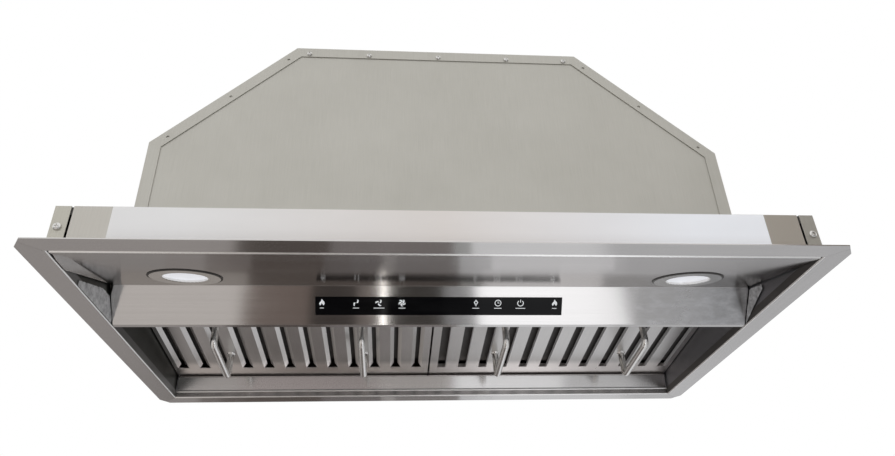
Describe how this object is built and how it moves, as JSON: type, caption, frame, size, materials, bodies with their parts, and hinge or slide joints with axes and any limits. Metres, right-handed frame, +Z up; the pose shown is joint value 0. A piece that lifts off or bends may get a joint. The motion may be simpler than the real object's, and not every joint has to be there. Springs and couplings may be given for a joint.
{
  "type": "range hood insert",
  "caption": "Flanged cabinet insert hood with tilting baffle filters, round lamps, touch control fascia, cropped-shoulder blower housing and round duct collar with damper.",
  "frame": {"origin": "centre of the flange's underside", "axes": "+X to the right for someone who faces the controls, -Y towards that person, +Z up through the duct collar"},
  "size_m": [0.9, 0.568, 0.4335],
  "materials": {
    "brushed_sheet": "brushed stainless",
    "satin_sheet": "plain satin steel sheet",
    "galvanised_sheet": "galvanised, matt",
    "polished_steel": "polished",
    "lamp_lens": "frosted diffuser",
    "lamp_body": "matt",
    "black_metal": "satin paint",
    "black_plastic": "matt",
    "control_glass": "black gloss",
    "control_board": "solder mask",
    "protective_film": "thin glossy film",
    "capacitor_case": "gloss"
  },
  "bodies": {
    "hood": {"flange_front": "brushed_sheet", "flange_rear": "brushed_sheet", "flange_left": "brushed_sheet", "flange_right": "brushed_sheet", "skirt_front": "brushed_sheet", "skirt_rear": "galvanised_sheet", "skirt_left": "satin_sheet", "skirt_right": "satin_sheet", "top_deck": "galvanised_sheet", "protective_film": "protective_film", "control_panel": "brushed_sheet", "filter_rear_rail": "brushed_sheet", "filter_front_rail": "galvanised_sheet", "lamp_bezel_left": "polished_steel", "lamp_lens_left": "lamp_lens", "lamp_body_left": "lamp_body", "lamp_bezel_right": "polished_steel", "lamp_lens_right": "lamp_lens", "lamp_body_right": "lamp_body", "control_glass": "control_glass", "control_board": "control_board", "housing_wing_left": "satin_sheet", "housing_wing_right": "satin_sheet", "housing_roof": "satin_sheet", "housing_front_panel": "satin_sheet", "housing_back_panel": "satin_sheet", "blower_scroll": "galvanised_sheet", "inlet_ring_left": "black_plastic", "inlet_ring_right": "black_plastic", "motor_body": "black_metal", "motor_mount": "galvanised_sheet", "motor_capacitor": "capacitor_case", "duct_collar": "galvanised_sheet", "collar_flange": "galvanised_sheet", "damper_pin": "polished_steel", "power_box": "galvanised_sheet", "power_box_lid": "galvanised_sheet", "cable_gland": "black_plastic", "skirt_screw_left": "polished_steel", "skirt_screw_right": "polished_steel", "roof_screw_1": "polished_steel", "roof_screw_2": "polished_steel", "roof_screw_3": "polished_steel", "roof_screw_4": "polished_steel", "roof_screw_5": "polished_steel"},
    "filter_left": {"filter_frame_left": "brushed_sheet", "filter_baffles_left": "brushed_sheet", "filter_handle_left_outer": "polished_steel", "filter_handle_left_inner": "polished_steel"},
    "filter_right": {"filter_frame_right": "brushed_sheet", "filter_baffles_right": "brushed_sheet", "filter_handle_right_outer": "polished_steel", "filter_handle_right_inner": "polished_steel"},
    "blower_rotor": {"blower_wheel": "black_metal", "motor_shaft": "polished_steel"},
    "damper_front": {"damper_flap_front": "galvanised_sheet"},
    "damper_rear": {"damper_flap_rear": "galvanised_sheet"}
  },
  "joints": [
    {"name": "filter_left_tilt", "type": "hinge", "parent": "hood", "child": "filter_left", "pos_m": [-0.2115, 0.24952, 0.03707], "axis": [1, 0, 0], "range_deg": [0, 60]},
    {"name": "filter_right_tilt", "type": "hinge", "parent": "hood", "child": "filter_right", "pos_m": [0.2115, 0.24952, 0.03707], "axis": [1, 0, 0], "range_deg": [0, 60]},
    {"name": "blower_spin", "type": "hinge", "parent": "hood", "child": "blower_rotor", "pos_m": [0, -0.044, 0.225], "axis": [1, 0, 0], "continuous": true},
    {"name": "damper_front_lift", "type": "hinge", "parent": "hood", "child": "damper_front", "pos_m": [0, 0.03, 0.4065], "axis": [-1, 0, 0], "range_deg": [0, 75]},
    {"name": "damper_rear_lift", "type": "hinge", "parent": "hood", "child": "damper_rear", "pos_m": [0, 0.03, 0.4065], "axis": [1, 0, 0], "range_deg": [0, 75]}
  ]
}
